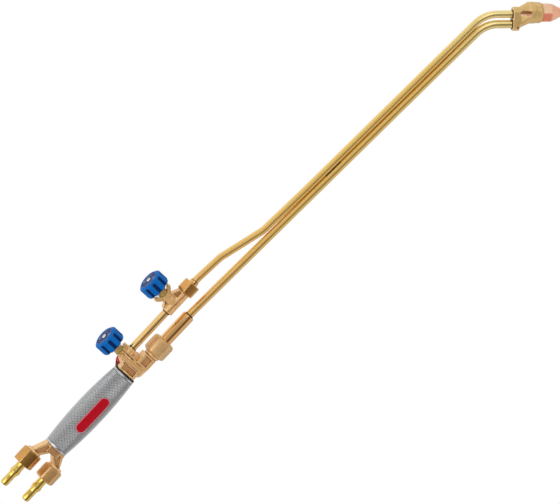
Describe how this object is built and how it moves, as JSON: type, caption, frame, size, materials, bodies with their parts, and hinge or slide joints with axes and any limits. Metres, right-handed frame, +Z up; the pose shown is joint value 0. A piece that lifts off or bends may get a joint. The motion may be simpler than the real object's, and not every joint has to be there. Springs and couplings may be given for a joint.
{
  "type": "oxy-propane cutting torch",
  "caption": "Long gas cutting torch: knurled handle, oxygen and fuel valves with round knobs, twin brass tubes, mixer and a bent head with a copper nozzle.",
  "frame": {"origin": "on the handle's axis, midway along the knurled handle", "axes": "+X along the torch from the hose end to the nozzle; +Z up on the side of the two oxygen knobs; +Y to the side of the fuel knob"},
  "size_m": [0.9097, 0.0627, 0.1604],
  "materials": {
    "turned_brass": "polished",
    "tube_brass": "polished",
    "forged_brass": "matte, as forged",
    "nut_brass": "satin",
    "sandy_brass": "matte, as forged",
    "copper": "satin copper",
    "knurled_aluminium": "fine diamond knurl",
    "red_plate": "gloss print",
    "black_rubber": "matte",
    "packing_ptfe": "smooth",
    "steel_stem": "turned",
    "blue_knob": "satin moulded",
    "blue_cap": "printed disc",
    "red_knob": "satin moulded",
    "red_cap": "printed disc",
    "screw_steel": "plated",
    "braze": "dull braze"
  },
  "bodies": {
    "torch": {"handle_shell": "knurled_aluminium", "name_plate": "red_plate", "front_gasket": "black_rubber", "inlet_block": "forged_brass", "oxygen_inlet_nut": "nut_brass", "fuel_inlet_nut": "nut_brass", "oxygen_hose_nipple": "turned_brass", "fuel_hose_nipple": "turned_brass", "oxygen_feed_tube": "tube_brass", "fuel_feed_tube": "tube_brass", "valve_body": "forged_brass", "mixer_nut": "nut_brass", "injector": "turned_brass", "injector_seals": "black_rubber", "mixing_chamber": "turned_brass", "link_tube": "tube_brass", "cutting_valve_body": "forged_brass", "cutting_outlet_nut": "nut_brass", "cutting_tube_ferrule": "turned_brass", "cutting_oxygen_tube": "tube_brass", "mixed_gas_tube": "tube_brass", "torch_head": "sandy_brass", "outer_nozzle": "copper", "inner_nozzle": "turned_brass", "braze_fillets": "braze", "tube_tack": "braze", "heating_oxygen_packing_nut": "nut_brass", "heating_oxygen_packing": "packing_ptfe", "fuel_gas_packing_nut": "nut_brass", "fuel_gas_packing": "packing_ptfe", "cutting_oxygen_packing_nut": "nut_brass", "cutting_oxygen_packing": "packing_ptfe"},
    "heating_oxygen_tip": {"heating_oxygen_needle": "steel_stem"},
    "heating_oxygen_wheel": {"heating_oxygen_spindle": "steel_stem", "heating_oxygen_knob": "blue_knob", "heating_oxygen_knob_cap": "blue_cap", "heating_oxygen_knob_screw": "screw_steel"},
    "fuel_gas_tip": {"fuel_gas_needle": "steel_stem"},
    "fuel_gas_wheel": {"fuel_gas_spindle": "steel_stem", "fuel_gas_knob": "red_knob", "fuel_gas_knob_cap": "red_cap", "fuel_gas_knob_screw": "screw_steel"},
    "cutting_oxygen_tip": {"cutting_oxygen_needle": "steel_stem"},
    "cutting_oxygen_wheel": {"cutting_oxygen_spindle": "steel_stem", "cutting_oxygen_knob": "blue_knob", "cutting_oxygen_knob_cap": "blue_cap", "cutting_oxygen_knob_screw": "screw_steel"}
  },
  "joints": [
    {"name": "heating_oxygen_lift", "type": "slide", "parent": "torch", "child": "heating_oxygen_tip", "axis": [0, 0, 1], "range_m": [0, 0.0015]},
    {"name": "heating_oxygen_turn", "type": "hinge", "parent": "heating_oxygen_tip", "child": "heating_oxygen_wheel", "pos_m": [0.0811, 0, 0.0248], "axis": [0, 0, 1], "range_deg": [0, 540]},
    {"name": "fuel_gas_lift", "type": "slide", "parent": "torch", "child": "fuel_gas_tip", "axis": [0, 1, 0], "range_m": [0, 0.0015]},
    {"name": "fuel_gas_turn", "type": "hinge", "parent": "fuel_gas_tip", "child": "fuel_gas_wheel", "pos_m": [0.0757, 0.0127, -0.0075], "axis": [0, 1, 0], "range_deg": [0, 540]},
    {"name": "cutting_oxygen_lift", "type": "slide", "parent": "torch", "child": "cutting_oxygen_tip", "axis": [0, 0, 1], "range_m": [0, 0.0015]},
    {"name": "cutting_oxygen_turn", "type": "hinge", "parent": "cutting_oxygen_tip", "child": "cutting_oxygen_wheel", "pos_m": [0.17, 0, 0.033], "axis": [0, 0, 1], "range_deg": [0, 540]}
  ],
  "couplings": [
    {"joint": "heating_oxygen_turn", "follows": "heating_oxygen_lift", "rad_per_m": 6283.2},
    {"joint": "fuel_gas_turn", "follows": "fuel_gas_lift", "rad_per_m": 6283.2},
    {"joint": "cutting_oxygen_turn", "follows": "cutting_oxygen_lift", "rad_per_m": 6283.2}
  ]
}
